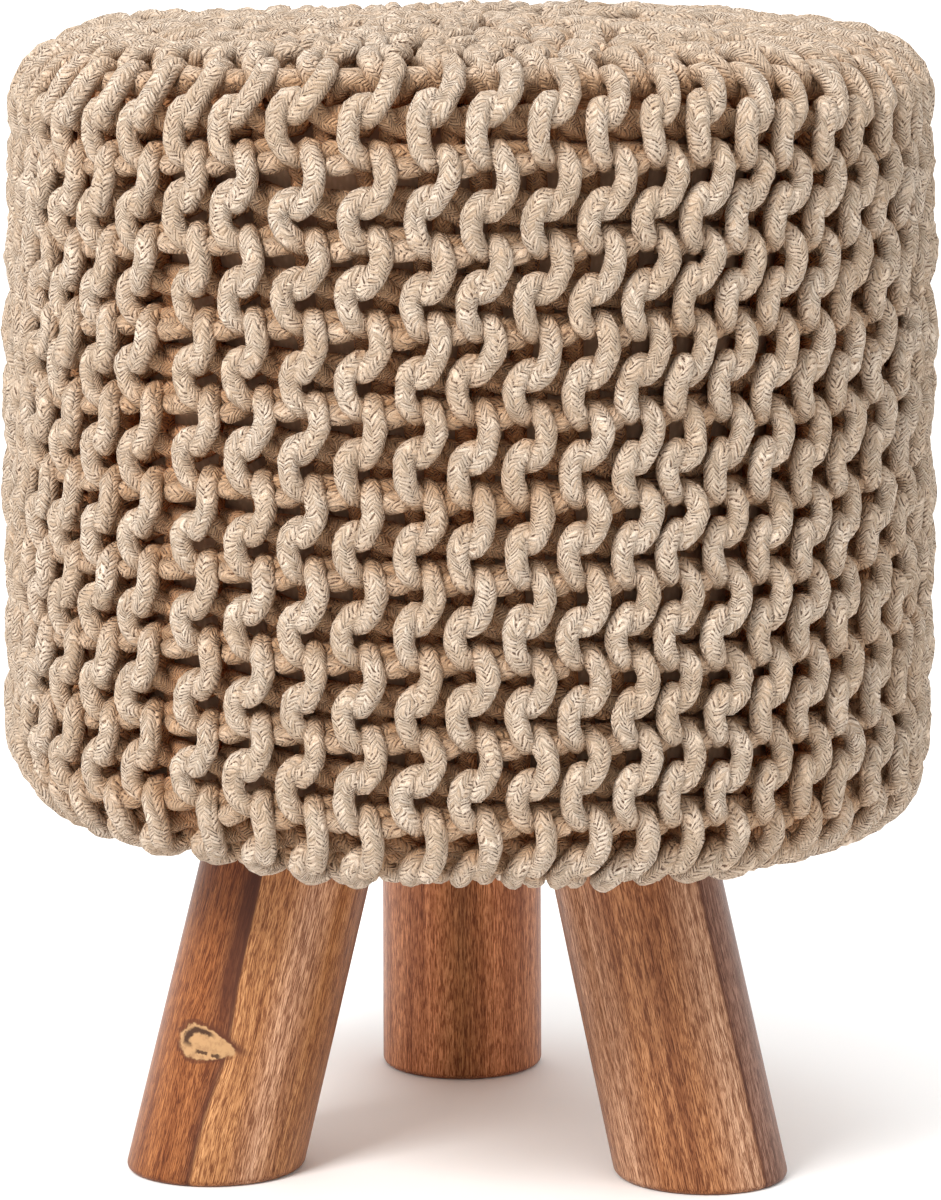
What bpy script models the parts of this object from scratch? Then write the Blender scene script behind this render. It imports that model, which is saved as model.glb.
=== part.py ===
"""Knitted drum pouf on three splayed wooden legs, in metres, +Z up.

The pouf is a filled drum in a cover of thick cotton cord, knitted in upright ribs that run over
the rounded rim and meet at the middle of the crowned top. It stands on three round legs that lean
outward and are cut level at the floor. The origin is on the floor, under the middle of the drum.
-Y is the front.
"""

from math import cos, pi, radians, sin, tan

import bmesh
import bpy
from mathutils import Matrix, Vector

# Drum, measured over the crests of the ribs
TOP_RADIUS = 0.1743
LOW_RADIUS = 0.1768
UNDERSIDE_Z = 0.129
TOP_Z = 0.429
CROWN = 0.005
TOP_ROUNDING = 0.030
LOW_ROUNDING = 0.031
BULGE = 0.0008
LEAN = 0.0017
LEAN_PIVOT = 0.2
EDGE_SAG = 0.0035
FLAT_UNDERSIDE_RADIUS = 0.118
ROUNDING_ERROR = 0.00001

# Knitted ribs
RIBS = 56
STEPS_PER_RIB = 3
RIB_DEPTH = 0.005
STITCH_PITCH = 0.0295
ZIGZAG = 0.0022
RIBS_FADE_RADIUS = 0.030

# Rows of points along the half section
TOP_ROWS = 5
TOP_ROUNDING_ROWS = 4
WALL_ROWS = 2 * round((TOP_Z - TOP_ROUNDING - UNDERSIDE_Z - LOW_ROUNDING) / STITCH_PITCH)
LOW_ROUNDING_ROWS = 4

# Legs: where each foot stands, which way the leg leans outward, and its radius at the floor
LEGS = (
    {"name": "leg_left", "foot": (-0.0967, -0.0490), "outward": -153.5, "radius": 0.0330},
    {"name": "leg_right", "foot": (0.0879, -0.0609), "outward": -34.6, "radius": 0.0322},
    {"name": "leg_back", "foot": (-0.0028, 0.1117), "outward": 89.5, "radius": 0.0324},
)
LEG_SPLAY = radians(15.0)
LEG_TAPER = 0.0009
LEG_SIDES = 40
FOOT_BEVEL = 0.0020
SEAT_GAP = 0.0003

# Colours, linear
CORD_COLOUR = (0.60, 0.455, 0.305, 1.0)
WOOD_COLOUR = (0.29, 0.115, 0.045, 1.0)


def clear_scene():
    """Removes every object of the open scene."""
    for obj in list(bpy.data.objects):
        bpy.data.objects.remove(obj)


def make_material(name, colour, roughness):
    """A plain Principled material."""
    material = bpy.data.materials.new(name)
    material.use_nodes = True
    shader = material.node_tree.nodes["Principled BSDF"]
    shader.inputs["Base Color"].default_value = colour
    shader.inputs["Roughness"].default_value = roughness
    shader.inputs["Metallic"].default_value = 0.0
    return material


def make_object(name, mesh, collection, material):
    """Adds a mesh to the collection as an object with its own material."""
    obj = bpy.data.objects.new(name, mesh)
    collection.objects.link(obj)
    mesh.materials.append(material)
    return obj


def half_section():
    """The drum's half section from the middle of the top, round the outside, to the middle of the
    underside, as (radius, height) pairs without ribs."""
    top_flat = TOP_RADIUS - TOP_ROUNDING
    low_flat = LOW_RADIUS - LOW_ROUNDING
    points = []
    for row in range(TOP_ROWS):
        radius = top_flat * row / TOP_ROWS
        points.append((radius, TOP_Z + CROWN * (1 - (radius / top_flat) ** 2)))
    for row in range(TOP_ROUNDING_ROWS):
        turn = pi / 2 * row / TOP_ROUNDING_ROWS
        points.append(
            (top_flat + TOP_ROUNDING * sin(turn), TOP_Z - TOP_ROUNDING * (1 - cos(turn)))
        )
    wall_top = TOP_Z - TOP_ROUNDING
    wall_low = UNDERSIDE_Z + LOW_ROUNDING
    for row in range(WALL_ROWS):
        share = row / WALL_ROWS
        radius = TOP_RADIUS + (LOW_RADIUS - TOP_RADIUS) * share + BULGE * sin(pi * share)
        points.append((radius, wall_top + (wall_low - wall_top) * share))
    for row in range(LOW_ROUNDING_ROWS + 1):
        turn = pi / 2 * row / LOW_ROUNDING_ROWS
        points.append(
            (low_flat + LOW_ROUNDING * cos(turn), wall_low - LOW_ROUNDING * sin(turn))
        )
    points.append((FLAT_UNDERSIDE_RADIUS, UNDERSIDE_Z))
    points.append((0.0, UNDERSIDE_Z))
    return points


def section_normals(section):
    """The outward direction at each point of the half section, in its own plane."""
    normals = []
    for row in range(len(section)):
        before = Vector(section[max(row - 1, 0)])
        after = Vector(section[min(row + 1, len(section) - 1)])
        along = (after - before).normalized()
        normals.append(Vector((-along.y, along.x)))
    return normals


def rib_depth(radius, height):
    """How deep the grooves between ribs are: shallow toward the middle of the top, where the ribs
    crowd together, and none on the flat underside."""
    if height < UNDERSIDE_Z + ROUNDING_ERROR:
        return 0.0
    fade = (radius - RIBS_FADE_RADIUS) / (TOP_RADIUS - TOP_ROUNDING - RIBS_FADE_RADIUS)
    return RIB_DEPTH * min(max(fade, 0.0), 1.0)


def edge_sag(radius, height):
    """How far the cover hangs lower on the +X side and higher on the -X side at this height."""
    if radius < FLAT_UNDERSIDE_RADIUS + ROUNDING_ERROR:
        return 0.0
    share = (TOP_Z - TOP_ROUNDING - height) / (TOP_Z - TOP_ROUNDING - UNDERSIDE_Z)
    return EDGE_SAG * min(max(share, 0.0), 1.0) ** 2


def raise_ribs(mesh, section):
    """Moves the points of the turned drum to raise the zigzag ribs, lean it and sag its edge."""
    normals = section_normals(section)
    rib_angle = 2 * pi / RIBS
    for vertex in mesh.vertices:
        radius = vertex.co.xy.length
        height = vertex.co.z
        row = min(
            range(len(section)),
            key=lambda index: abs(section[index][0] - radius) + abs(section[index][1] - height),
        )
        depth = rib_depth(radius, height)
        angle = Vector((vertex.co.x, vertex.co.y)).angle_signed(Vector((1, 0)), 0.0)
        step = round(angle / (rib_angle / STEPS_PER_RIB)) % STEPS_PER_RIB
        if step == 0:
            radius -= depth * normals[row].x
            height -= depth * normals[row].y
        if depth == RIB_DEPTH and abs(normals[row].y) < 0.9:
            angle += ZIGZAG / radius * (1 if row % 2 else -1)
        rise = (height - UNDERSIDE_Z) / (TOP_Z - UNDERSIDE_Z)
        vertex.co.x = radius * cos(angle) + LEAN * (rise - LEAN_PIVOT)
        vertex.co.y = radius * sin(angle)
        vertex.co.z = height - edge_sag(radius, height) * cos(angle)


def build_drum(collection):
    """The filled, knitted drum: its half section turned round the Z axis, then ribbed."""
    section = half_section()
    profile = bpy.data.meshes.new("drum_section")
    points = [(radius, 0.0, height) for radius, height in section]
    edges = [(row, row + 1) for row in range(len(section) - 1)]
    profile.from_pydata(points, edges, [])
    turned = bpy.data.objects.new("drum_turned", profile)
    collection.objects.link(turned)
    screw = turned.modifiers.new("Turn", "SCREW")
    screw.steps = RIBS * STEPS_PER_RIB
    screw.render_steps = screw.steps
    screw.use_merge_vertices = True
    screw.merge_threshold = 0.0001
    mesh = bpy.data.meshes.new_from_object(
        turned.evaluated_get(bpy.context.evaluated_depsgraph_get())
    )
    bpy.data.objects.remove(turned)
    raise_ribs(mesh, section)
    mesh.name = "knitted_drum"
    mesh.shade_smooth()
    return make_object(
        "knitted_drum", mesh, collection, make_material("cotton_cord", CORD_COLOUR, 0.95)
    )


def cut_level(shape, height, keep_above):
    """Cuts the shape at a level plane, keeps one side and closes the cut."""
    cut = bmesh.ops.bisect_plane(
        shape,
        geom=shape.verts[:] + shape.edges[:] + shape.faces[:],
        plane_co=(0, 0, height),
        plane_no=(0, 0, 1),
        clear_inner=keep_above,
        clear_outer=not keep_above,
    )
    rim = [item for item in cut["geom_cut"] if isinstance(item, bmesh.types.BMEdge)]
    bmesh.ops.holes_fill(shape, edges=rim)


def build_leg(leg, collection):
    """One round leg that leans outward, cut level at the floor and under the drum."""
    top_z = UNDERSIDE_Z - SEAT_GAP
    length = (top_z + 4 * leg["radius"] * tan(LEG_SPLAY)) / cos(LEG_SPLAY)
    shape = bmesh.new()
    bmesh.ops.create_cone(
        shape,
        cap_ends=True,
        segments=LEG_SIDES,
        radius1=leg["radius"],
        radius2=leg["radius"] - LEG_TAPER,
        depth=length,
    )
    outward = radians(leg["outward"])
    lean_axis = Vector((-sin(outward), cos(outward), 0))
    middle = Vector((*leg["foot"], top_z / 2)) - Vector(
        (cos(outward), sin(outward), 0)
    ) * tan(LEG_SPLAY) * top_z / 2
    lean = Matrix.Translation(middle) @ Matrix.Rotation(-LEG_SPLAY, 4, lean_axis)
    bmesh.ops.transform(shape, matrix=lean, verts=shape.verts[:])
    cut_level(shape, 0.0, keep_above=True)
    cut_level(shape, top_z, keep_above=False)
    foot_rim = [edge for edge in shape.edges if all(abs(v.co.z) < 1e-6 for v in edge.verts)]
    bmesh.ops.bevel(shape, geom=foot_rim, offset=FOOT_BEVEL, segments=2, profile=0.5)
    bmesh.ops.recalc_face_normals(shape, faces=shape.faces[:])
    mesh = bpy.data.meshes.new(leg["name"])
    shape.to_mesh(mesh)
    shape.free()
    mesh.shade_smooth()
    mesh.set_sharp_from_angle(angle=radians(40))
    return make_object(
        leg["name"], mesh, collection, make_material(leg["name"] + "_wood", WOOD_COLOUR, 0.35)
    )


def main():
    """Builds the pouf."""
    clear_scene()
    collection = bpy.data.collections.new("knitted_pouf")
    bpy.context.scene.collection.children.link(collection)
    build_drum(collection)
    for leg in LEGS:
        build_leg(leg, collection)


main()
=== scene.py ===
"""Dresses the knitted pouf: a cover knitted from cotton cord, its filled core and three wooden legs.

Lengths are in metres, stitch sizes in millimetres and angles in degrees, unless a name says
otherwise. An angle round the drum is 0 at the front (-Y) and grows toward +X.
"""

import logging
from dataclasses import dataclass, field
from enum import Enum
from math import cos, pi, radians, sin, tan

import bpy
import numpy as np
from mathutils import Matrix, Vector


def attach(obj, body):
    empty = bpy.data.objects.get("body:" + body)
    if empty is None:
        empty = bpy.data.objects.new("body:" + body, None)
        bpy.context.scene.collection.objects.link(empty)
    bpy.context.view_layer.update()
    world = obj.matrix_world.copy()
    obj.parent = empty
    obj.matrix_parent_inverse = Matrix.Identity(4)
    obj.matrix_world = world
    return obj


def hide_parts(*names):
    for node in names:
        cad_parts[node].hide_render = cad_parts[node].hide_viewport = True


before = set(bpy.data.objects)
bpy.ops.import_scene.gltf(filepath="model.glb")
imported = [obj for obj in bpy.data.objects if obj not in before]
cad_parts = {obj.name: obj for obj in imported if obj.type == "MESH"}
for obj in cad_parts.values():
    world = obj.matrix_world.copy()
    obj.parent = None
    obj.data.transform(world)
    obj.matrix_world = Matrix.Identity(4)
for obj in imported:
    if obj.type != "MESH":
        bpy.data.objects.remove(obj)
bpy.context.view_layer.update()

LOG = logging.getLogger("knitted_pouf")
MM = 0.001
FULL_TURN = 360.0
TOUCH = 1e-4
BODY = "root"
DRUM_NODE = "knitted_drum"

Colour = tuple[float, float, float]
Point = tuple[float, float, float]
Span = tuple[float, float]
Array = np.ndarray


class Slot(Enum):
    """The record's material slots."""

    CORD = "cotton_cord"
    WOOD = "lacquered_wood"


def smooth_step(share: Array) -> Array:
    """Eases values from 0 to 1, level at both ends, after clipping them to 0 to 1."""
    share = np.clip(share, 0.0, 1.0)
    return share * share * (3.0 - 2.0 * share)


def lengths_along(points: Array) -> Array:
    """The distance of each point along a line of points, 0 at the first."""
    return np.concatenate([[0.0], np.cumsum(np.linalg.norm(np.diff(points, axis=0), axis=1))])


class Output:
    """An output of a material's node; Python's arithmetic on it adds Math nodes."""

    def __init__(self, graph: "Graph", socket: bpy.types.NodeSocket) -> None:
        """Keeps the material's nodes and the output's socket."""
        self.graph = graph
        self.socket = socket

    def __add__(self, other: "Number") -> "Output":
        """The sum."""
        return self.graph.math("ADD", self, other)

    def __sub__(self, other: "Number") -> "Output":
        """The difference."""
        return self.graph.math("SUBTRACT", self, other)

    def __rsub__(self, other: float) -> "Output":
        """The difference from a plain number."""
        return self.graph.math("SUBTRACT", other, self)

    def __mul__(self, other: "Number") -> "Output":
        """The product."""
        return self.graph.math("MULTIPLY", self, other)

    def __truediv__(self, other: "Number") -> "Output":
        """The quotient."""
        return self.graph.math("DIVIDE", self, other)

    def __mod__(self, other: "Number") -> "Output":
        """The remainder, never below zero."""
        return self.graph.math("FLOORED_MODULO", self, other)

    def __neg__(self) -> "Output":
        """The value with its sign turned."""
        return self * -1.0

    def __abs__(self) -> "Output":
        """The value without its sign."""
        return self.graph.math("ABSOLUTE", self)


Number = Output | float


class Graph:
    """A material's node tree, with short calls that add and join nodes."""

    def __init__(self, name: str) -> None:
        """Starts a material with its Principled shader and its Object coordinates.

        Args:
            name: Name of the material.
        """
        self.material = bpy.data.materials.new(name)
        self.material.use_nodes = True
        self.tree = self.material.node_tree
        self.shader = self.tree.nodes["Principled BSDF"]
        self.point = self.add("ShaderNodeTexCoord", {}, "Object")

    def add(
        self, kind: str, inputs: dict[str | int, object], output: str | int = 0, **settings: object
    ) -> Output:
        """Adds a node.

        Args:
            kind: Blender's name of the node.
            inputs: A value or output for each input, by its name or place.
            output: Name or place of the output.
            settings: The node's properties.

        Returns:
            The output.
        """
        node = self.tree.nodes.new(kind)
        for name, value in settings.items():
            setattr(node, name, value)
        for name, value in inputs.items():
            self.feed(node.inputs[name], value)
        return Output(self, node.outputs[output])

    def feed(self, socket: bpy.types.NodeSocket, value: object) -> None:
        """Joins an output to a socket, or sets the socket's own value or colour."""
        if isinstance(value, Output):
            self.tree.links.new(value.socket, socket)
        else:
            socket.default_value = (*value, 1.0) if socket.type == "RGBA" else value

    def math(self, operation: str, *values: Number, clamp: bool = False) -> Output:
        """A Math node's result, kept within 0 to 1 where clamp is set."""
        return self.add(
            "ShaderNodeMath", dict(enumerate(values)), operation=operation, use_clamp=clamp
        )

    def between(self, value: Number, low: float, high: float, most: float = 1.0) -> Output:
        """Eases a value from 0 at low to the most at high."""
        inputs = {"Value": value, "From Min": low, "From Max": high, "To Max": most}
        return self.add("ShaderNodeMapRange", inputs, interpolation_type="SMOOTHSTEP")

    def line(self, value: Output, middle: float, half_width: float) -> Output:
        """A share that is 1 where the value is at the middle and eases to 0 at the half width."""
        return self.between(abs(value - middle), half_width, 0.35 * half_width)

    def mix(self, share: Number, first: object, second: object, blend: str = "MIX") -> Output:
        """Mixes two colours.

        Args:
            share: How much of the second colour.
            first: Colour or output.
            second: Colour or output.
            blend: Blender's name of the blend.

        Returns:
            The mixed colour.
        """
        inputs = {0: share, 6: first, 7: second}
        return self.add("ShaderNodeMix", inputs, 2, data_type="RGBA", blend_type=blend)

    def noise(
        self, vector: Output, scale: float, detail: float = 2.0, roughness: float = 0.5
    ) -> Output:
        """A Noise texture's grey value.

        Args:
            vector: Coordinates.
            scale: Scale of the noise.
            detail: Number of finer layers.
            roughness: Strength of the finer layers.

        Returns:
            Values round 0.5.
        """
        inputs = {"Vector": vector, "Scale": scale, "Detail": detail, "Roughness": roughness}
        return self.add("ShaderNodeTexNoise", inputs, "Fac")

    def centred_noise(self, vector: Output, scale: float, reach: float) -> Output:
        """A smooth noise round zero, times a reach."""
        return (self.noise(vector, scale, 0.0) - 0.5) * reach

    def random(self, *parts: Number) -> Output:
        """A random value from 0 to 1 that changes with whole numbers."""
        inputs = {"Vector": self.combine(*parts)}
        return self.add("ShaderNodeTexWhiteNoise", inputs, "Value", noise_dimensions="3D")

    def split(self, vector: Output) -> list[Output]:
        """The three parts of a vector."""
        first = self.add("ShaderNodeSeparateXYZ", {0: vector})
        return [Output(self, socket) for socket in first.socket.node.outputs]

    def combine(self, *parts: Number) -> Output:
        """A vector of up to three parts."""
        return self.add("ShaderNodeCombineXYZ", dict(enumerate(parts)))

    def place(
        self, vector: Output, move: Point = (0.0, 0.0, 0.0), turn: Point = (0.0, 0.0, 0.0),
        scale: Point = (1.0, 1.0, 1.0),
    ) -> Output:
        """Stretches, turns and moves coordinates with a Mapping node.

        Args:
            vector: Coordinates.
            move: Offset added after the turn.
            turn: Turn round each axis, in radians.
            scale: Stretch along each axis.

        Returns:
            The placed coordinates.
        """
        inputs = {"Vector": vector, "Location": move, "Rotation": turn, "Scale": scale}
        return self.add("ShaderNodeMapping", inputs)

    def ramp(self, value: Output, stops: dict[float, Colour]) -> Output:
        """Turns a value into a colour.

        Args:
            value: Value from 0 to 1.
            stops: Colour at each position.

        Returns:
            The colour.
        """
        colour = self.add("ShaderNodeValToRGB", {0: value})
        elements = colour.socket.node.color_ramp.elements
        places = sorted(stops)
        for _ in places[2:]:
            elements.new(0.5)
        for element, place in zip(elements, places):
            element.position = place
            element.color = (*stops[place], 1.0)
        return colour

    def bump(self, height: Output, distance: float, strength: float) -> None:
        """Raises the surface by a height of 0 to 1 times a distance in metres."""
        inputs = {"Height": height, "Distance": distance, "Strength": strength}
        self.feed(self.shader.inputs["Normal"], self.add("ShaderNodeBump", inputs))

    def dress(self, **sockets: object) -> bpy.types.Material:
        """Feeds the shader's sockets by name, with _ for a space, and returns the material."""
        for name, value in sockets.items():
            self.feed(self.shader.inputs[name.replace("_", " ")], value)
        return self.material


@dataclass(frozen=True)
class Tint:
    """A colour that comes over a tone as a value passes from the first bound to the second."""

    colour: Colour
    bounds: Span
    most: float = 1.0
    blend: str = "MULTIPLY"

    def over(self, graph: Graph, tone: Output, value: Output) -> Output:
        """The tone with the colour over it."""
        return graph.mix(graph.between(value, *self.bounds, self.most), tone, self.colour, self.blend)


@dataclass(frozen=True)
class Strands:
    """The cord's strand pattern: the way along the strands, their plait and their shape."""

    phase: Output
    plait: Output
    from_valley: Output
    roundness: Output
    own_tone: Output


@dataclass(frozen=True)
class CordFinish:
    """Soft braided cotton cord: uneven slanting strands in chevrons, painted shade in their gaps and
    loose fibres.

    Its UV map holds the share of the way round the cord and the metres along it. Tints by the
    height in the knit paint shade on the cords' sides and in the recesses between them, and
    paint the warm light that bounces deep between the cords.
    """

    light: Colour = (0.80, 0.655, 0.525)
    warm: Colour = (0.72, 0.555, 0.415)
    # Painted shade in the gaps between strands, and darker painted shade where plaits meet.
    strand_gap_shade: Colour = (0.22, 0.125, 0.072)
    plait_gap_shade_tone: Colour = (0.09, 0.043, 0.024)
    # Painted highlight on the strands' round middles; it also lightens fine fuzz at random.
    highlight_and_pale_fuzz: Colour = (1.22, 1.25, 1.28)
    # Painted shade of the fibres, laid on at random by each strand's tone and the fibre noise.
    fibre_shade: Tint = Tint((0.45, 0.300, 0.186), (0.75, 0.10), 0.75, "MIX")
    fuzz_dusk: Tint = Tint((0.66, 0.60, 0.54), (0.50, 0.66), 0.55)
    fuzz_glow: Tint = Tint(highlight_and_pale_fuzz, (0.50, 0.34), 0.40)
    # Painted shade on the cords' sides and in the recesses, then painted warm bounce light deeper in
    # the knit.
    recess: Tint = Tint((0.84, 0.650, 0.480), (0.98, 0.62))
    deep: Tint = Tint((1.18, 0.84, 0.565), (0.66, 0.20))
    hidden: Tint = Tint((1.26, 0.98, 0.760), (0.36, 0.12))
    plaits_round: float = 8.0
    plait_drift: float = 16.0
    strand_length: float = 0.00150
    slant: float = 1.45
    wander_scale: float = 170.0
    wander_round: float = 1.2
    wander_along: float = 2.4
    fibre_lines: float = 5.5
    plait_spacing: float = 7.7
    speck_scale: float = 700.0
    patch_scale: float = 46.0
    fuzz_scale: float = 2300.0
    own_relief: float = 0.35
    fibre_relief: float = 0.9
    speck_relief: float = 0.7
    fuzz_relief: float = 0.6
    relief: float = 0.0011

    def strands(self, graph: Graph) -> Strands:
        """Works out the strand pattern.

        Args:
            graph: The material's nodes.

        Returns:
            The pattern.
        """
        share_round, metres_along, _ = graph.split(graph.add("ShaderNodeUVMap", {}, uv_map="cord"))
        moved = graph.place(graph.point, move=(3.0, 1.0, 2.0))
        shift_round = graph.centred_noise(moved, self.wander_scale, self.wander_round)
        shift_along = graph.centred_noise(graph.point, self.wander_scale, self.wander_along)
        drift = metres_along * self.plait_drift + self.plaits_round
        round_way = share_round * self.plaits_round + (drift + shift_round)
        plait = graph.math("FLOOR", round_way) % self.plaits_round
        leans_left = plait % 2.0
        from_valley = abs(leans_left - graph.math("FRACT", round_way))
        along = metres_along / self.strand_length + shift_along
        phase = from_valley * self.slant + (leans_left * 0.5 + along)
        off_middle = abs(graph.math("FRACT", phase) * 2.0 - 1.0)
        roundness = 1.0 - graph.math("POWER", off_middle, 2.0)
        own_tone = graph.random(graph.math("FLOOR", phase), plait)
        return Strands(phase, plait, from_valley, roundness, own_tone)

    def gaps(self, graph: Graph, strands: Strands, specks: Output, tone: Output) -> Output:
        """Paints shade into the thin gaps between strands, and darker shade where plaits meet.

        Args:
            graph: The material's nodes.
            strands: The strand pattern.
            specks: Fine noise that breaks the gaps up.
            tone: Colour of the cord so far.

        Returns:
            The colour with its painted shade.
        """
        between_strands = graph.between(strands.roundness, 0.86, 0.30)
        own_chance = graph.random(graph.math("ROUND", strands.phase), strands.plait)
        drawn = graph.between(own_chance, 0.30, 0.75, 0.95)
        # Shares of painted shade: in the thin gaps between strands, and darker where plaits meet.
        thin = between_strands * drawn * graph.between(specks, 0.47, 0.56)
        in_valley = graph.between(strands.from_valley, 0.60, 0.15)
        plait_gap_shade = between_strands * in_valley * graph.between(specks, 0.45, 0.53, 0.92)
        return graph.mix(plait_gap_shade, graph.mix(thin, tone, self.strand_gap_shade), self.plait_gap_shade_tone)

    def material(self) -> bpy.types.Material:
        """Builds the cord's material."""
        graph = Graph("cotton_cord")
        strands = self.strands(graph)
        lines = graph.combine(
            strands.phase * self.fibre_lines, strands.from_valley, strands.plait * self.plait_spacing
        )
        fibres = graph.noise(lines, 1.0, 2.0, 0.6)
        specks = graph.noise(graph.point, self.speck_scale, 2.0, 0.65)
        patches = graph.noise(graph.point, self.patch_scale, 3.0, 0.55)
        fuzz = graph.noise(graph.point, self.fuzz_scale, 2.0, 0.6)

        valley_rise = graph.between(strands.from_valley, -0.12, 0.38)
        ridge_rise = graph.between(strands.from_valley, 1.0, 0.85, 0.25) + 0.75
        height = strands.own_tone * self.own_relief + strands.roundness * valley_rise * ridge_rise
        for roughness, reach in (
            (fibres, self.fibre_relief), (specks, self.speck_relief), (fuzz, self.fuzz_relief),
        ):
            height = height + (roughness - 0.5) * reach
        graph.bump(height, self.relief, 1.0)

        tone = graph.mix(graph.between(patches, 0.35, 0.65), self.warm, self.light)
        # Share of painted fibre shade, from each strand's random tone and the fibre noise.
        fibre_shade_share = strands.own_tone * 0.4 + graph.between(fibres, 0.3, 0.7, 0.6)
        tone = self.fibre_shade.over(graph, tone, fibre_shade_share)
        # Painted highlight on the round middles of the paler strands.
        strand_highlight = graph.between(strands.own_tone, 0.50, 0.95, 0.4) * strands.roundness
        tone = graph.mix(strand_highlight, tone, self.highlight_and_pale_fuzz, "MULTIPLY")
        tone = self.gaps(graph, strands, specks, tone)
        for tint in (self.fuzz_dusk, self.fuzz_glow):
            tone = tint.over(graph, tone, fuzz)
        # Paints shade on the cords' sides and in the recesses, then warm bounce light deep in the
        # knit, by height.
        depth = graph.add("ShaderNodeAttribute", {}, "Fac", attribute_name="height_in_knit")
        for tint in (self.recess, self.deep, self.hidden):
            tone = tint.over(graph, tone, depth)
        return graph.dress(
            Base_Color=tone, Roughness=0.92, Specular_IOR_Level=0.2,
            Sheen_Weight=0.12, Sheen_Roughness=0.6, Sheen_Tint=(0.95, 0.87, 0.76),
        )


@dataclass(frozen=True)
class CoreClothFinish:
    """The plain woven cloth of the filled core, seen only deep between the cords and underneath."""

    # Its warm orange tone is partly the cloth's own and partly painted warm light bounced between the
    # cords.
    thread_and_bounce_light: Colour = (0.72, 0.440, 0.270)
    shadow: Colour = (0.52, 0.305, 0.180)
    threads_per_metre: float = 900.0
    patch_scale: float = 30.0

    def material(self) -> bpy.types.Material:
        """Builds the cloth's material."""
        graph = Graph("core_cloth")
        scale = self.threads_per_metre / 2 / pi
        ways = []
        for turn in (0.0, radians(90.0)):
            turned = graph.place(graph.point, turn=(radians(30.0), turn, turn))
            inputs = {"Vector": turned, "Scale": scale, "Distortion": 1.2}
            ways.append(graph.add("ShaderNodeTexWave", inputs, "Fac", wave_profile="SIN"))
        weave = ways[0] * ways[1]
        patches = graph.noise(graph.point, self.patch_scale, 3.0)
        share = graph.math("MULTIPLY_ADD", weave, 0.5, patches * 0.5, clamp=True)
        graph.bump(weave, 0.0003, 0.6)
        return graph.dress(Base_Color=graph.mix(share, self.shadow, self.thread_and_bounce_light), Roughness=0.95)


@dataclass(frozen=True)
class FloorFinish:
    """A plain pale studio floor."""

    tone: Colour = (0.97, 0.97, 0.97)
    patch: Colour = (0.9555, 0.9555, 0.9555)

    def material(self) -> bpy.types.Material:
        """Builds the floor's material."""
        graph = Graph("studio_floor")
        soft = graph.mix(graph.noise(graph.point, 3.0), self.tone, self.patch)
        return graph.dress(Base_Color=soft, Roughness=0.75, Specular_IOR_Level=0.2)


@dataclass(frozen=True)
class DrumForm:
    """The drum's outline over the crests of the knit, as the frame has it."""

    top_radius: float = 0.1743
    low_radius: float = 0.1768
    underside_z: float = 0.129
    top_z: float = 0.429
    crown: float = 0.005
    top_rounding: float = 0.030
    low_rounding: float = 0.031
    bulge: float = 0.0008
    lean: float = 0.0017
    lean_pivot: float = 0.2
    edge_sag: float = 0.0035
    flat_underside_radius: float = 0.118
    line_end_radius: float = 0.09
    steps: int = 40

    @property
    def top_flat(self) -> float:
        """Radius where the top starts to round over."""
        return self.top_radius - self.top_rounding

    @property
    def low_flat(self) -> float:
        """Radius where the underside starts."""
        return self.low_radius - self.low_rounding

    def crest_line(self) -> Array:
        """The half outline from the middle of the top to the flat underside.

        Returns:
            Points as rows of (radius, height), as many on each of its five stretches.
        """
        share = np.linspace(0.0, 1.0, self.steps, endpoint=False)
        turn = share * pi / 2
        wall_top, wall_low = self.top_z - self.top_rounding, self.underside_z + self.low_rounding
        wall_out = self.bulge * np.sin(pi * share)
        stretches = (
            (share * self.top_flat, self.top_z + self.crown * (1 - share**2)),
            (
                self.top_flat + self.top_rounding * np.sin(turn),
                self.top_z - self.top_rounding * (1 - np.cos(turn)),
            ),
            (
                self.top_radius + (self.low_radius - self.top_radius) * share + wall_out,
                wall_top + (wall_low - wall_top) * share,
            ),
            (
                self.low_flat + self.low_rounding * np.cos(turn),
                wall_low - self.low_rounding * np.sin(turn),
            ),
            (
                self.low_flat + (self.line_end_radius - self.low_flat) * share,
                np.full_like(share, self.underside_z),
            ),
        )
        return np.concatenate([np.stack(stretch, 1) for stretch in stretches])


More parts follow.
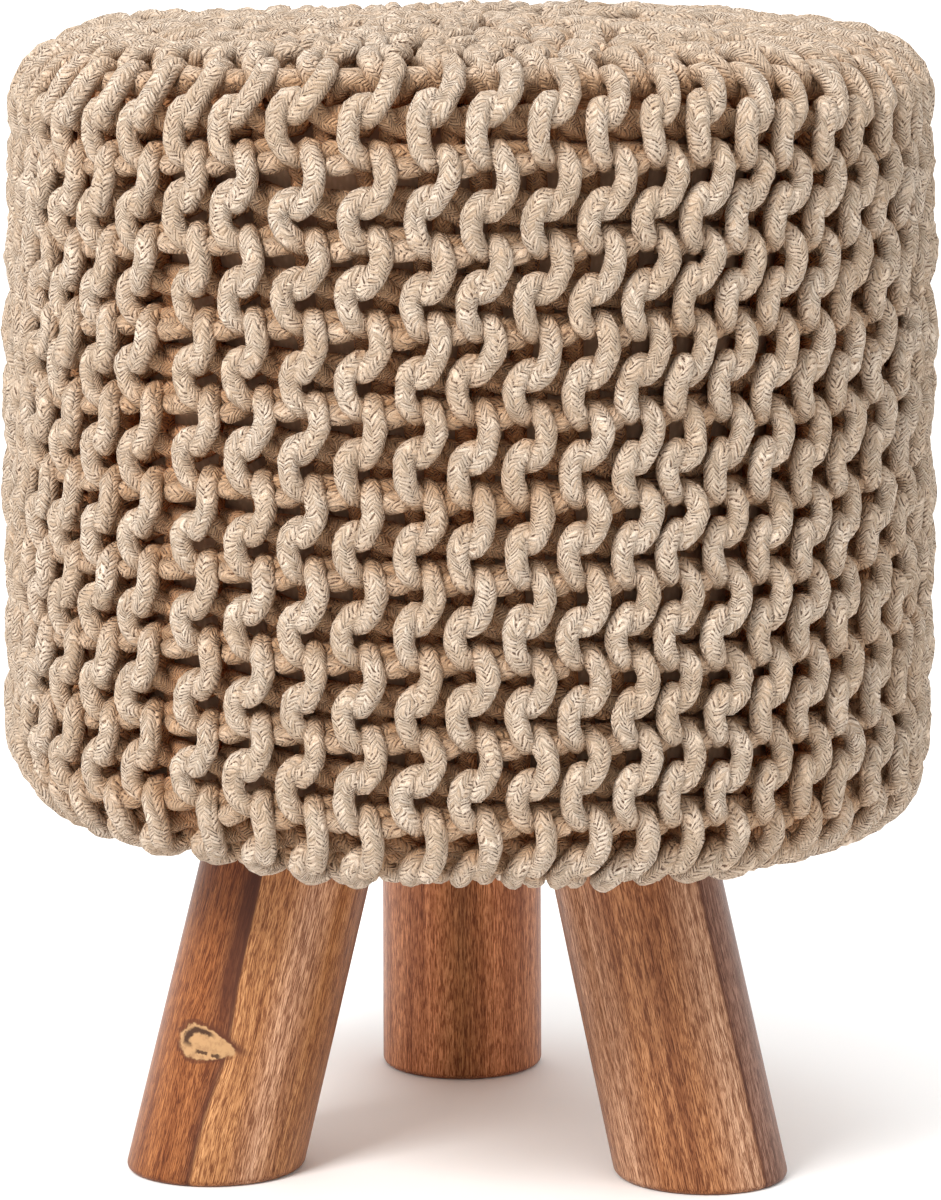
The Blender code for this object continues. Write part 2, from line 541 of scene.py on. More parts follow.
class CoverSurface:
    """The surface midway through the cover's thickness, on which the stitches are laid."""

    def __init__(self, form: DrumForm, depth: float) -> None:
        """Sets the surface a depth inside the crests.

        Args:
            form: The drum's outline.
            depth: Distance from the crests to the middle of the cover.
        """
        self.form = form
        crest = form.crest_line()
        way = np.gradient(crest, axis=0)
        normal = np.stack([-way[:, 1], way[:, 0]], 1)
        normal /= np.linalg.norm(normal, axis=1)[:, None]
        normal[0] = (0.0, 1.0)
        self.line = crest - depth * normal
        self.normal = normal
        self.arc = lengths_along(self.line)
        self.wall_top = float(self.arc[2 * form.steps])
        self.under_rim = float(self.arc[4 * form.steps])

    def read(self, arc: Array, values: Array) -> Array:
        """Values of the line's points, read at distances along it."""
        return np.interp(arc, self.arc, values)

    def outward(self, angle: Array, arc: Array) -> Array:
        """The surface's outward direction at points of it."""
        side, up = self.read(arc, self.normal[:, 0]), self.read(arc, self.normal[:, 1])
        turn = np.radians(angle)
        return np.stack([side * np.sin(turn), -side * np.cos(turn), up], -1)

    def point(self, angle: Array, arc: Array, out: Array) -> Array:
        """Places points of the cover.

        Args:
            angle: Angles round the drum.
            arc: Distances along the surface from the middle of the top.
            out: Distances out from the surface.

        Returns:
            Positions, with the drum's lean and sagging edge.
        """
        form = self.form
        radius = self.read(arc, self.line[:, 0]) + out * self.read(arc, self.normal[:, 0])
        height = self.read(arc, self.line[:, 1]) + out * self.read(arc, self.normal[:, 1])
        turn = np.radians(angle)
        rise = (height - form.underside_z) / (form.top_z - form.underside_z)
        wall_top = form.top_z - form.top_rounding
        share = np.clip((wall_top - height) / (wall_top - form.underside_z), 0.0, 1.0)
        flat = form.flat_underside_radius
        hangs = np.clip((radius - flat) / (form.low_flat - flat), 0.0, 1.0)
        sag = form.edge_sag * share**2 * hangs * np.sin(turn)
        return np.stack([
            radius * np.sin(turn) + form.lean * (rise - form.lean_pivot),
            -radius * np.cos(turn),
            height - sag,
        ], -1)


@dataclass(frozen=True)
class Loop:
    """One stitch of a course that runs down the drum: its bend in front and its way to the next.

    Points are in millimetres: across the column, down it, and out of the cover's middle.
    """

    front: tuple[Point, ...]
    lower_leg: tuple[Point, ...]
    back: tuple[Point, ...]
    upper_leg: tuple[Point, ...]

    def guide(self, leg_firmness: float, back_firmness: float) -> tuple[Array, Array]:
        """The designed points in order, and how firmly each keeps its place.

        Args:
            leg_firmness: Firmness of the legs, where the front bend has 1.
            back_firmness: Firmness of the bend behind.

        Returns:
            The points and their firmness.
        """
        groups = (
            (self.front, 1.0), (self.lower_leg, leg_firmness), (self.back, back_firmness),
            (self.upper_leg, leg_firmness),
        )
        points = np.array([point for group, _ in groups for point in group])
        firmness = np.array([firm for group, firm in groups for _ in group])
        return points, firmness


@dataclass(frozen=True)
class Stitch:
    """The two loops that make a column: a leaf on its right side, hooked by one on its left."""

    pitch: float = 29.4
    column_width: float = 19.6
    cord: float = 8.25
    leaf: Loop = Loop(
        front=(
            (3.8, -7.4, 4.8), (5.0, -4.6, 6.8), (5.6, -1.2, 7.3), (5.1, 2.2, 7.3), (3.2, 5.6, 7.2),
            (0.3, 8.1, 6.4),
        ),
        lower_leg=((-2.6, 9.4, 3.2), (-5.4, 8.8, -1.2), (-9.6, 6.6, -4.0), (-13.4, 5.6, -5.8)),
        back=((-15.4, 8.8, -7.0), (-16.0, 13.0, -7.3), (-15.8, 17.0, -7.3), (-14.8, 21.2, -5.6)),
        upper_leg=(
            (-12.6, 25.2, -1.4), (-9.0, 25.0, 3.6), (-5.8, 24.0, 1.2), (-2.6, 22.6, -2.8),
            (0.6, 21.2, -2.8), (2.6, 20.4, 0.8),
        ),
    )
    hook: Loop = Loop(
        front=(
            (0.0, 7.0, 4.4), (-2.8, 7.6, 6.8), (-5.1, 10.4, 7.3), (-5.8, 14.2, 7.3),
            (-5.2, 18.2, 7.0), (-3.6, 21.6, 5.4),
        ),
        lower_leg=((-1.8, 23.6, 1.4), (1.4, 23.6, -2.0), (5.2, 21.8, -2.0), (9.4, 20.8, -0.6)),
        back=((13.6, 22.6, -3.8), (16.0, 27.4, -6.8), (16.4, 33.0, -7.3), (15.8, 38.4, -7.2)),
        upper_leg=((13.8, 42.2, -6.2), (9.8, 42.0, -4.4), (5.4, 40.0, -2.8), (2.4, 37.2, 0.6)),
    )
    leg_firmness: float = 0.8
    back_firmness: float = 0.4
    leg_thinness: float = 0.95
    thin_below: float = 5.0
    samples: int = 84
    curve_steps: int = 32
    settling_steps: int = 120
    least_distance: float = 0.74
    least_leg_distance: float = 0.50
    behind_from: float = 4.0
    own_reach: float = 1.35
    push_share: float = 0.5
    softness: float = 48.0
    draw_back: float = 0.3

    @property
    def step(self) -> Array:
        """The way from one stitch of a column to the next."""
        return np.array([0.0, self.pitch, 0.0])

    def closed(self, path: Array) -> Array:
        """The points of one stitch and the first point of the next."""
        return np.concatenate([path, path[:1] + self.step])

    def resample(self, path: Array, places: Array) -> Array:
        """Points of the path at given distances along it."""
        closed = self.closed(path)
        way = lengths_along(closed)
        return np.stack([np.interp(places, way, closed[:, axis]) for axis in range(3)], 1)

    def smooth_path(self, loop: Loop) -> tuple[Array, Array]:
        """A smooth curve through a loop's points, evenly sampled.

        Args:
            loop: The loop.

        Returns:
            The points and their firmness.
        """
        points, firmness = loop.guide(self.leg_firmness, self.back_firmness)
        count = len(points)
        run = np.concatenate([points - self.step, points, points + self.step])
        firm = np.tile(firmness, 3)
        share = np.linspace(0.0, 1.0, self.curve_steps, endpoint=False)[:, None]
        curve, keep = [], []
        for place in range(count, 2 * count):
            before, start, end, after = run[place - 1:place + 3]
            gaps = [np.sqrt(np.linalg.norm(b - a)) for a, b in
                    ((before, start), (start, end), (end, after))]
            leave = gaps[1] * ((start - before) / gaps[0] - (end - before) / (gaps[0] + gaps[1])
                               + (end - start) / gaps[1])
            arrive = gaps[1] * ((end - start) / gaps[1] - (after - start) / (gaps[1] + gaps[2])
                                + (after - end) / gaps[2])
            curve.append(
                (2 * share**3 - 3 * share**2 + 1) * start + (share**3 - 2 * share**2 + share) * leave
                + (3 * share**2 - 2 * share**3) * end + (share**3 - share**2) * arrive
            )
            keep.append(firm[place] + (firm[place + 1] - firm[place]) * share[:, 0])
        path = np.concatenate(curve)
        way = lengths_along(self.closed(path))
        places = np.linspace(0.0, way[-1], self.samples, endpoint=False)
        firmness = np.interp(places, way[:-1], np.concatenate(keep))
        return self.resample(path, places), firmness

    def neighbours(self, path: Array, other: Array, side: int) -> Array:
        """All cord that one stitch can touch.

        Args:
            path: Points of the stitch.
            other: Points of the column's other loop.
            side: Side of the column on which the stitch crosses over to the next one.

        Returns:
            Copies of the paths, one a row, the stitch's own three copies last.
        """
        aside = np.array([self.column_width, 0.0, 0.0])
        copies = [
            other + shift * aside + row * self.step for shift in (0, side) for row in range(-2, 3)
        ]
        copies += [
            path + shift * aside + row * self.step for shift in (-1, 1, 0) for row in (-1, 0, 1)
        ]
        return np.stack(copies)

    def ease(self, path: Array, others: Array, start: Array, firmness: Array) -> Array:
        """Pushes a path clear of other cord, eases its bends and draws it back to its design.

        Args:
            path: Points of the stitch.
            others: Cord that it can touch, its own three copies last.
            start: Its designed points.
            firmness: How firmly each point keeps its place.

        Returns:
            The moved path.
        """
        index = np.arange(self.samples)
        apart = path[:, None, None] - others[None]
        distance = np.linalg.norm(apart, axis=-1) + 1e-9
        spacing = lengths_along(self.closed(path))[-1] / self.samples
        near = int(np.ceil(self.own_reach * self.cord / spacing))
        copies = self.samples * np.array([-1, 0, 1])
        own = np.abs(index[:, None, None] - index[None, None] - copies[None, :, None]) <= near
        behind = smooth_step(1.0 - path[:, None, None, 2] / self.behind_from) \
            * smooth_step(1.0 - others[None, ..., 2] / self.behind_from)
        least = self.least_distance + (self.least_leg_distance - self.least_distance) * behind
        short = np.maximum(self.cord * least - distance, 0.0)
        short[:, -3:][own] = 0.0
        push = (apart / distance[..., None] * short[..., None] ** 2).sum((1, 2))
        path = path + self.push_share * push / np.maximum(short.sum((1, 2)), 1e-9)[:, None]
        run = np.concatenate([path[-2:] - self.step, path, path[:2] + self.step])
        bend = run[:-4] - 4 * run[1:-3] + 6 * run[2:-2] - 4 * run[3:-1] + run[4:]
        path = path - bend / self.softness
        return path + self.draw_back * firmness[:, None] * (start - path)

    def settle(self) -> tuple[Array, Array]:
        """Lets the two loops push each other clear where they cross.

        Returns:
            The settled paths of the leaf and of the hook.
        """
        (leaf, leaf_firmness), (hook, hook_firmness) = map(self.smooth_path, (self.leaf, self.hook))
        leaf_start, hook_start = leaf.copy(), hook.copy()
        for _ in range(self.settling_steps):
            leaf = self.ease(leaf, self.neighbours(leaf, hook, -1), leaf_start, leaf_firmness)
            hook = self.ease(hook, self.neighbours(hook, leaf, 1), hook_start, hook_firmness)
        return leaf, hook


@dataclass(frozen=True)
class Columns:
    """Where the knitted columns stand round the drum, and where each ends on the top.

    A row of end_radii says of every so many columns, from which one on, at what radius they end.
    """

    count: int = 56
    first_front: float = -65.9
    front_gaps: tuple[float, ...] = (
        7.0, 7.8, 7.2, 9.3, 7.5, 6.9, 6.9, 7.1, 6.3, 6.7, 6.3, 6.2, 5.9, 6.3, 6.5, 6.9, 6.5, 7.2, 7.4,
    )
    end_radii: tuple[tuple[int, int, float], ...] = (
        (4, 1, 0.122), (8, 3, 0.102), (8, 7, 0.088), (8, 2, 0.068), (8, 6, 0.048), (8, 4, 0.022),
        (8, 0, 0.0),
    )
    fade: float = 0.020
    least_share: float = 0.12
    uneven_from: float = 0.10
    uneven_over: float = 0.05

    def gaps(self) -> Array:
        """Angles between neighbouring columns on the wall."""
        rest = (FULL_TURN - sum(self.front_gaps)) / (self.count - len(self.front_gaps))
        return np.array(self.front_gaps + (rest,) * (self.count - len(self.front_gaps)))

    def end_radius(self, column: int) -> float:
        """Radius on the top where a column ends."""
        for every, offset, radius in self.end_radii:
            if column % every == offset:
                return radius
        raise ValueError(f"column {column} has no end on the top")


class ColumnLayout:
    """Turns a place counted in columns into an angle, all the way along the cover."""

    samples = 500
    past_all_ends = 1.0
    valley_from = 0.3
    valley_over = 0.4

    def __init__(self, columns: Columns, surface: CoverSurface) -> None:
        """Works out each column's middle and width along the cover.

        Args:
            columns: The columns' places and ends.
            surface: The surface that they lie on.
        """
        self.count = columns.count
        self.reach = float(surface.arc[-1])
        arc = np.linspace(0.0, self.reach, self.samples)
        on_top = surface.read(arc, surface.line[:, 0])
        radius = np.where(arc < surface.wall_top, on_top, self.past_all_ends)
        ends = np.array([columns.end_radius(column) for column in range(self.count)])
        shares = smooth_step((radius[None] - ends[:, None] + columns.fade / 2) / columns.fade)
        shares = np.maximum(shares, columns.least_share)
        uneven = smooth_step((radius - columns.uneven_from) / columns.uneven_over)
        self.spare = (columns.gaps() - FULL_TURN / self.count)[:, None] * uneven[None]
        self.width = FULL_TURN * shares / shares.sum(0)
        following = np.roll(self.width, -1, axis=0)
        gaps = (self.width + following) / 2 + self.spare
        middle = np.concatenate([np.zeros((1, self.samples)), np.cumsum(gaps, axis=0)[:-1]])
        wall = middle[:, self.samples // 2][:, None] + columns.first_front
        self.middle = middle + (wall - middle).mean(0)[None]

    def angle(self, place: Array, arc: Array) -> Array:
        """Angles of places counted in columns.

        Args:
            place: Column numbers with fractions.
            arc: Distances along the cover.

        Returns:
            Angles round the drum, growing past a full turn as the column numbers do.
        """
        whole = np.floor(place).astype(int)
        part = place - whole
        column, turns = whole % self.count, whole // self.count
        following = (column + 1) % self.count
        spot = np.clip(arc / self.reach * (self.samples - 1), 0.0, self.samples - 1.001)
        low = spot.astype(int)
        share = spot - low

        def read(table: Array, line: Array) -> Array:
            """A table's value for each column and distance."""
            return table[line, low] * (1 - share) + table[line, low + 1] * share

        near_half = np.minimum(part, 0.5) * read(self.width, column)
        far_half = np.maximum(part - 0.5, 0.0) * read(self.width, following)
        in_valley = smooth_step((part - self.valley_from) / self.valley_over)
        valley = read(self.spare, column) * in_valley
        return read(self.middle, column) + near_half + far_half + valley + turns * FULL_TURN


@dataclass(frozen=True)
class Lean:
    """How far the columns near an angle lean aside, in metres at heights up the drum."""

    middle: float
    spread: float
    shifts: tuple[Span, ...]

    def shift(self, angle: Array, height: Array) -> Array:
        """How far points at angles and heights shift toward growing angles, in metres."""
        heights, shifts = zip(*self.shifts)
        off = np.abs((angle - self.middle + FULL_TURN / 2) % FULL_TURN - FULL_TURN / 2)
        return np.interp(height, heights, shifts) * smooth_step(1.0 - off / self.spread)


class Ripple:
    """Smooth seeded unevenness over the drum's surface, the same after each full turn."""

    rows = 64
    first_row = 4.0

    def __init__(self, seed: int, cells_round: int, cell_length: float) -> None:
        """Draws the random heights.

        Args:
            seed: Seed of the random draws.
            cells_round: Number of random heights in a full turn.
            cell_length: Distance between random heights along the cover, in metres.
        """
        self.cells_round = cells_round
        self.cell_length = cell_length
        self.heights = np.random.default_rng(seed).uniform(-1.0, 1.0, (cells_round, self.rows))

    def at(self, angle: Array, arc: Array) -> Array:
        """The unevenness at points of the cover.

        Args:
            angle: Angles round the drum.
            arc: Distances along the cover from the middle of the top.

        Returns:
            Values from -1 to 1.
        """
        across = angle / FULL_TURN * self.cells_round
        along = arc / self.cell_length + self.first_row
        column, row = np.floor(across).astype(int), np.floor(along).astype(int)
        turn, rise = smooth_step(across - column), smooth_step(along - row)

        def height(right: int, down: int) -> Array:
            """The random height at a corner of each point's cell."""
            return self.heights[(column + right) % self.cells_round, (row + down) % self.rows]

        near = height(0, 0) * (1 - turn) + height(1, 0) * turn
        far = height(0, 1) * (1 - turn) + height(1, 1) * turn
        return near * (1 - rise) + far * rise


class Way(Enum):
    """The ways in which unevenness moves the cord."""

    DOWN = 0
    ASIDE = 1
    OUTWARD = 2


@dataclass(frozen=True)
class Wave:
    """Unevenness of one size, and how far it moves the cord each way.

    It moves the cord down the cover and outward in metres, and aside in columns.
    """

    seed: int
    cells_round: int
    cell_length: float
    reach: Point

    def ripples(self) -> list[Ripple]:
        """Its heights for each way, from seeds in a row."""
        return [Ripple(self.seed + way.value, self.cells_round, self.cell_length) for way in Way]


@dataclass
class Tube:
    """The mesh of one course; uv has a row for each corner of its four-sided faces."""

    points: Array
    faces: Array
    caps: Array
    uv: Array
    height: Array


@dataclass
class KnitCover:
    """The cover: courses of one cotton cord that run down the drum, looped into each other."""

    form: DrumForm = field(default_factory=DrumForm)
    stitch: Stitch = field(default_factory=Stitch)
    columns: Columns = field(default_factory=Columns)
    finish: CordFinish = field(default_factory=CordFinish)
    front_bend: float = 7.2
    rings: int = 23
    sides: int = 12
    sectors: int = 8
    front_crowding: float = 1.3
    crowded_from: float = -3.0
    crowded_over: float = 6.0
    under_end_radius: float = 0.1165
    end_tuck: float = 0.013
    tuck_length: float = 0.012
    end_taper: Span = (0.5, 0.87)
    rows_before: int = 3
    rows_after: int = 2
    pattern_shift: float = 0.37
    lumpiness: float = 0.080
    swell: float = 0.06
    swell_scales: Span = (1.7, 1.3)
    waves: tuple[Wave, ...] = (
        Wave(7, 16, 0.070, (0.0020, 0.045, 0.0013)), Wave(17, 80, 0.016, (0.0016, 0.065, 0.0015)),
    )
    row_drop: tuple[Span, ...] = (
        (-60, 0.53), (-40, 0.37), (-10, 0.34), (25, 0.37), (50, 0.50), (72, 0.40), (180, 0.45),
    )
    leans: tuple[Lean, ...] = (
        Lean(35.0, 75.0, ((0.160, 0.0045), (0.225, 0.0012), (0.310, 0.0030), (0.400, 0.0140))),
        Lean(-27.0, 18.0, ((0.305, 0.0), (0.385, -0.0085))),
        Lean(72.0, 26.0, ((0.160, 0.0080), (0.345, 0.0))),
    )
    seed: int = 7

    def __post_init__(self) -> None:
        """Lays out the surface, the columns and the unevenness."""
        self.depth = (self.front_bend + self.stitch.cord / 2) * MM
        self.surface = CoverSurface(self.form, self.depth)
        self.layout = ColumnLayout(self.columns, self.surface)
        self.ripples = [wave.ripples() for wave in self.waves]

    def stitch_rings(self, path: Array) -> Array:
        """A stitch's path at the rings of its tube, closer together on the front bends.

        Args:
            path: The settled path.

        Returns:
            The rings' centres.
        """
        way = lengths_along(self.stitch.closed(path))
        in_front = smooth_step((path[:, 2] - self.crowded_from) / self.crowded_over)
        crowding = 1.0 + self.front_crowding * in_front
        steps = np.diff(way) * (crowding + np.roll(crowding, -1)) / 2
        crowd = np.concatenate([[0.0], np.cumsum(steps)])
        even = np.linspace(0.0, crowd[-1], self.rings, endpoint=False)
        return self.stitch.resample(path, np.interp(even, crowd, way))

    def drop(self, angle: Array) -> Array:
        """How far the rows have dropped at angles round the drum, in stitches."""
        places, drops = zip(*self.row_drop)
        return np.interp(angle, places, drops, period=FULL_TURN)

    def lean(self, angle: Array, arc: Array) -> Array:
        """How far the columns lean aside, as an angle."""
        height = self.surface.read(arc, self.surface.line[:, 1])
        shift = sum(lean.shift(angle, height) for lean in self.leans)
        return np.degrees(shift / self.form.top_radius)

    def unsettle(self, values: Array, way: Way, angle: Array, arc: Array) -> Array:
        """Adds the waves' unevenness to the cord's places.

        Args:
            values: The places, counted in the way.
            way: The way in which they move.
            angle: Angles round the drum.
            arc: Distances along the cover.

        Returns:
            The moved places.
        """
        kind = way.value
        shifts = (
            wave.reach[kind] * ripples[kind].at(angle, arc)
            for wave, ripples in zip(self.waves, self.ripples)
        )
        return sum(shifts, values)

    def end_places(self, column: int) -> Span:
        """Where a column starts on the top and ends under the edge, as distances along it."""
        line, arc = self.surface.line, self.surface.arc
        top, under = slice(0, self.form.steps), arc >= self.surface.under_rim
        start = np.interp(self.columns.end_radius(column), line[top, 0], arc[top])
        end = np.interp(-self.under_end_radius, -line[under, 0], arc[under])
        return float(start), float(end)

    def course(self, number: int, rings: tuple[Array, Array]) -> tuple[Array, Array, Array, Array]:
        """Lays one course on the drum.

        Args:
            number: The course's number; even ones are leaves, odd ones hooks.
            rings: The leaf's and the hook's rings.

        Returns:
            Centres, outward directions, distances out of the cover's middle, and radii.
        """
        stitch = self.stitch
        column, hooked = divmod(number, 2)
        stitches = int(self.surface.arc[-1] / (stitch.pitch * MM))
        rows = range(-self.rows_before, stitches + self.rows_after)
        path = np.concatenate([rings[hooked] + row * stitch.step for row in rows])
        place = column + path[:, 0] / stitch.column_width
        wall_angle = self.layout.angle(place, np.full_like(place, self.layout.reach / 2))
        arc = (path[:, 1] / stitch.pitch + self.drop(wall_angle)) * stitch.pitch * MM
        arc = self.unsettle(arc, Way.DOWN, wall_angle, arc)
        place = self.unsettle(place, Way.ASIDE, wall_angle, arc)
        out = self.unsettle(path[:, 2] * MM, Way.OUTWARD, wall_angle, arc)
        start, end = self.end_places(column)
        tuck = smooth_step((start + self.tuck_length - arc) / self.tuck_length) \
            + smooth_step((arc - end + self.tuck_length) / self.tuck_length)
        out = out - self.end_tuck * tuck
        laid = np.maximum(arc, 0.0)
        angle = self.layout.angle(place, laid)
        angle = angle + self.lean(angle, arc)
        inside = np.nonzero((arc > start) & (arc < end))[0]
        keep = slice(inside[0], inside[-1] + 1)
        centre = self.surface.point(angle, laid, out)
        outward = self.surface.outward(angle, laid)
        fine_ripple = self.ripples[-1][Way.OUTWARD.value]
        round_scale, down_scale = self.swell_scales
        swell = 1.0 + self.swell * fine_ripple.at(wall_angle * round_scale, arc * down_scale)
        thin = smooth_step((stitch.thin_below - path[:, 2]) / stitch.thin_below)
        swell = swell * (1.0 - (1.0 - stitch.leg_thinness) * thin)
        radius = stitch.cord / 2 * MM * swell
        return centre[keep], outward[keep], out[keep], radius[keep]

    @staticmethod
    def frames(centre: Array, outward: Array) -> tuple[Array, Array]:
        """Two directions across the cord at each ring, carried along it without twist.

        Args:
            centre: The rings' centres.
            outward: The cover's outward directions.

        Returns:
            The first and second directions.
        """
        along = np.gradient(centre, axis=0)
        along /= np.linalg.norm(along, axis=1)[:, None]
        first = np.zeros_like(along)
        carried = outward[0]
        for index, way in enumerate(along):
            carried = carried - way * (carried @ way)
            carried = carried / np.linalg.norm(carried)
            first[index] = carried
        return first, np.cross(along, first)

    def tube(self, number: int, rings: tuple[Array, Array]) -> Tube:
        """The mesh of one course, with rounded ends.

        Args:
            number: The course's number.
            rings: The leaf's and the hook's rings.

        Returns:
            The mesh.
        """
        centre, outward, out, radius = self.course(number, rings)
        count = len(centre)
        taper = np.ones(count)
        taper[:2] = taper[-2:][::-1] = self.end_taper
        radius = radius * taper
        first, second = self.frames(centre, outward)
        turn = np.linspace(0.0, 2 * pi, self.sides, endpoint=False)[None, :, None]
        spoke = np.cos(turn) * first[:, None] + np.sin(turn) * second[:, None]
        lumps = np.random.default_rng((self.seed, number)).uniform(-1.0, 1.0, (count, self.sides))
        spread = radius[:, None] * (1.0 + self.lumpiness * lumps)
        points = centre[:, None] + spread[..., None] * spoke
        height = out[:, None] + radius[:, None] * (spoke * outward[:, None]).sum(-1)
        grid = np.arange(count * self.sides).reshape(count, self.sides)
        ahead = np.roll(grid, -1, axis=1)
        faces = np.stack([grid[:-1], ahead[:-1], ahead[1:], grid[1:]], -1).reshape(-1, 4)
        way = lengths_along(centre) + self.pattern_shift * number
        side = np.arange(self.sides) / self.sides
        corners = [
            np.stack(np.broadcast_arrays(side[None] + right / self.sides, ends[:, None]), -1)
            for right, ends in ((0, way[:-1]), (1, way[:-1]), (1, way[1:]), (0, way[1:]))
        ]
        return Tube(
            points=points.reshape(-1, 3), faces=faces, caps=np.stack([grid[0][::-1], grid[-1]]),
            uv=np.stack(corners, 2).reshape(-1, 2),
            height=((height + self.depth) / (2 * self.depth)).reshape(-1),
        )

    def join(self, name: str, tubes: list[Tube]) -> bpy.types.Object:
        """Joins courses into one piece.

        Args:
            name: Name of the piece.
            tubes: Meshes of the courses.

        Returns:
            The piece.
        """
        starts = np.cumsum([0] + [len(tube.points) for tube in tubes[:-1]])
        points = np.concatenate([tube.points for tube in tubes])
        faces = np.concatenate([tube.faces + start for tube, start in zip(tubes, starts)])
        caps = np.concatenate([tube.caps + start for tube, start in zip(tubes, starts)])
        corners = np.concatenate([faces.reshape(-1), caps.reshape(-1)])
        sizes = np.concatenate([np.full(len(faces), 4), np.full(len(caps), self.sides)])
        first_corners = np.cumsum(sizes) - sizes
        uv = np.concatenate([tube.uv for tube in tubes] + [np.zeros((caps.size, 2))])
        height = np.concatenate([tube.height for tube in tubes])
        mesh = bpy.data.meshes.new(name)
        mesh.vertices.add(len(points))
        mesh.vertices.foreach_set("co", points.astype(np.float32).reshape(-1))
        mesh.loops.add(len(corners))
        mesh.loops.foreach_set("vertex_index", corners.astype(np.int32))
        mesh.polygons.add(len(sizes))
        mesh.polygons.foreach_set("loop_start", first_corners.astype(np.int32))
        mesh.update(calc_edges=True)
        mesh.uv_layers.new(name="cord").data.foreach_set("uv", uv.astype(np.float32).reshape(-1))
        attribute = mesh.attributes.new("height_in_knit", "FLOAT", "POINT")
        attribute.data.foreach_set("value", height.astype(np.float32))
        mesh.shade_smooth()
        piece = bpy.data.objects.new(name, mesh)
        bpy.context.scene.collection.objects.link(piece)
        return piece

    def build(self) -> list[bpy.types.Object]:
        """Builds the cover in sectors.

        Returns:
            The pieces.
        """
        leaf, hook = self.stitch.settle()
        rings = self.stitch_rings(leaf), self.stitch_rings(hook)
        material = self.finish.material()
        courses = 2 * self.columns.count // self.sectors
        pieces = []
        for sector in range(self.sectors):
            tubes = [self.tube(sector * courses + number, rings) for number in range(courses)]
            piece = self.join(f"cover_sector_{sector + 1}", tubes)
            piece.data.materials.append(material)
            pieces.append(piece)
        return pieces


def deselect_all() -> None:
    """Deselects every object."""
    bpy.ops.object.select_all(action="DESELECT")


def set_mode(mode: str) -> None:
    """Puts the active object in EDIT or OBJECT mode."""
    bpy.ops.object.mode_set(mode=mode)


def active_piece(name: str) -> bpy.types.Object:
    """Names the object just added, puts its place into its mesh and returns it."""
    piece = bpy.context.object
    piece.name = name
    piece.data.name = name
    bpy.ops.object.transform_apply(location=True, rotation=True, scale=True)
    return piece


def select_level(piece: bpy.types.Object, kind: str, height: float) -> None:
    """Selects the edges or faces that lie level at a height, and opens edit mode on them.

    Args:
        piece: The active object, in object mode.
        kind: EDGE or FACE.
        height: The height.
    """
    set_mode("EDIT")
    bpy.ops.mesh.select_mode(type=kind)
    bpy.ops.mesh.select_all(action="DESELECT")
    set_mode("OBJECT")
    mesh = piece.data
    for part in mesh.edges if kind == "EDGE" else mesh.polygons:
        ends = (mesh.vertices[index].co.z for index in part.vertices)
        part.select = all(abs(end - height) < TOUCH for end in ends)
    set_mode("EDIT")


@dataclass
class DrumCore:
    """The filled cloth core that the cover is drawn over, with a flat base that the legs hold."""

    form: DrumForm = field(default_factory=DrumForm)
    finish: CoreClothFinish = field(default_factory=CoreClothFinish)
    cover_thickness: float = 0.0218
    base_radius: float = 0.1125
    base_lift: float = 0.0005
    base_height: float = 0.017
    base_bevel: float = 0.0015
    top_bevel: float = 0.016
    low_bevel: float = 0.012
    sides: int = 112
    fill: float = 0.9

    def build(self) -> bpy.types.Object:
        """Builds the core.

        Returns:
            The piece.
        """
        form = self.form
        low = form.underside_z + self.base_height
        high = form.top_z - self.cover_thickness
        deselect_all()
        bpy.ops.mesh.primitive_cylinder_add(
            vertices=self.sides, radius=form.top_radius - self.cover_thickness, depth=high - low,
            end_fill_type="NGON", location=(0.0, 0.0, (high + low) / 2),
        )
        core = active_piece("filled_core")
        for rim, offset, segments in ((high, self.top_bevel, 5), (low, self.low_bevel, 4)):
            select_level(core, "EDGE", rim)
            bpy.ops.mesh.bevel(offset=offset, segments=segments, affect="EDGES")
            set_mode("OBJECT")
        self.press_base(core, low)
        bpy.ops.object.shade_smooth_by_angle(angle=radians(50.0))
        core.data.materials.append(self.finish.material())
        return core

    def press_base(self, core: bpy.types.Object, low: float) -> None:
        """Draws the flat base down from the core's lowest face, level with the underside.

        Args:
            core: The core, in object mode.
            low: Height of its lowest face.
        """
        select_level(core, "FACE", low)
        inset = self.form.top_radius - self.cover_thickness - self.low_bevel - self.base_radius
        bpy.ops.mesh.inset(thickness=inset, depth=0.0)
        drop = low - self.form.underside_z - self.base_lift
        bpy.ops.mesh.extrude_region_move(TRANSFORM_OT_translate={"value": (0.0, 0.0, -drop)})
        bpy.ops.mesh.bevel(offset=self.base_bevel, segments=3, affect="EDGES")
        set_mode("OBJECT")


# A darkening tint: for the grain, and near a leg's top partly as painted shadow of the drum.
DARK_GRAIN_AND_SHADE = (0.60, 0.47, 0.38)
LIGHT_GRAIN = (1.22, 1.30, 1.36)


